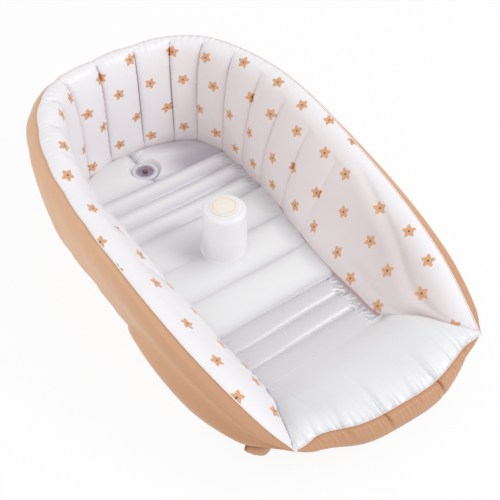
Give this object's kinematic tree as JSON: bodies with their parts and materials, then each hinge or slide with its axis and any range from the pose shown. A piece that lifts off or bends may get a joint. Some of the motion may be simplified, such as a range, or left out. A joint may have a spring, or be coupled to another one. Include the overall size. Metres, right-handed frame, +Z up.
{
  "type": "inflatable bathtub",
  "caption": "Inflatable baby bathtub: high rounded head end, walls that fall to a low end with a sloped backrest pad, ribbed floor mat, round pillar, drain plug and capped air valves.",
  "frame": {"origin": "centre of the bounding box in plan, on the ground under the base sheet", "axes": "+X from the high head end to the low backrest end, +Y to the right-hand wall seen from the head, +Z up"},
  "size_m": [0.8631, 0.5356, 0.2802],
  "materials": {
    "tan_skin": "soft sheen",
    "white_skin": "gloss",
    "mat_skin": "gloss",
    "clear_plastic": "clear gloss",
    "cream_print": "satin",
    "brown_plastic": "gloss"
  },
  "bodies": {
    "tub": {"wall_cell_head": "white_skin", "wall_cell_right_1": "white_skin", "wall_cell_left_1": "white_skin", "wall_cell_right_2": "white_skin", "wall_cell_left_2": "white_skin", "wall_cell_right_3": "white_skin", "wall_cell_left_3": "white_skin", "wall_cell_right_4": "white_skin", "wall_cell_left_4": "white_skin", "wall_cell_right_5": "white_skin", "wall_cell_left_5": "white_skin", "wall_cell_right_6": "white_skin", "wall_cell_left_6": "white_skin", "wall_cell_right_7": "white_skin", "wall_cell_left_7": "white_skin", "wall_cell_right_8": "white_skin", "wall_cell_left_8": "white_skin", "outer_wall_head_middle": "tan_skin", "outer_wall_head_right": "tan_skin", "outer_wall_side_right": "tan_skin", "outer_wall_head_left": "tan_skin", "outer_wall_side_left": "tan_skin", "floor_mat": "mat_skin", "base_sheet": "tan_skin", "backrest_pad": "mat_skin", "outer_wall_foot": "tan_skin", "corner_tuck_right": "tan_skin", "corner_tuck_left": "tan_skin", "pillar_body": "mat_skin", "pillar_weld_ring": "mat_skin", "pillar_top_sheet": "mat_skin", "pillar_disc": "cream_print", "drain_fitting": "clear_plastic", "rim_weld": "white_skin", "foot_weld": "white_skin", "corner_tip_right": "white_skin", "corner_tip_left": "white_skin", "wall_valve_base": "clear_plastic", "floor_valve_base": "clear_plastic"},
    "drain_plug": {"drain_plug": "clear_plastic", "drain_plug_tab": "brown_plastic"},
    "wall_valve_stopper": {"wall_valve_stopper": "clear_plastic"},
    "wall_valve_flap": {"wall_valve_flap": "clear_plastic"},
    "floor_valve_stopper": {"floor_valve_stopper": "clear_plastic"},
    "floor_valve_flap": {"floor_valve_flap": "clear_plastic"}
  },
  "joints": [
    {"name": "drain_plug_lift", "type": "slide", "parent": "tub", "child": "drain_plug", "axis": [0, 0, 1], "range_m": [0, 0.03]},
    {"name": "wall_valve_stopper_swing", "type": "hinge", "parent": "tub", "child": "wall_valve_stopper", "pos_m": [-0.36015, 0.2031, 0.17473], "axis": [-0.782, -0.6233, 0], "range_deg": [0, 80]},
    {"name": "wall_valve_flap_swing", "type": "hinge", "parent": "tub", "child": "wall_valve_flap", "pos_m": [-0.35561, 0.1974, 0.1955], "axis": [-0.782, -0.6233, 0], "range_deg": [0, 60], "stiffness_Nm_per_rad": 0.0002},
    {"name": "floor_valve_stopper_swing", "type": "hinge", "parent": "tub", "child": "floor_valve_stopper", "pos_m": [-0.28687, 0.22098, 0.08017], "axis": [-0.9195, -0.3931, 0], "range_deg": [0, 80]},
    {"name": "floor_valve_flap_swing", "type": "hinge", "parent": "tub", "child": "floor_valve_flap", "pos_m": [-0.28542, 0.2176, 0.10188], "axis": [-0.9195, -0.3931, 0], "range_deg": [0, 60], "stiffness_Nm_per_rad": 0.0002}
  ]
}
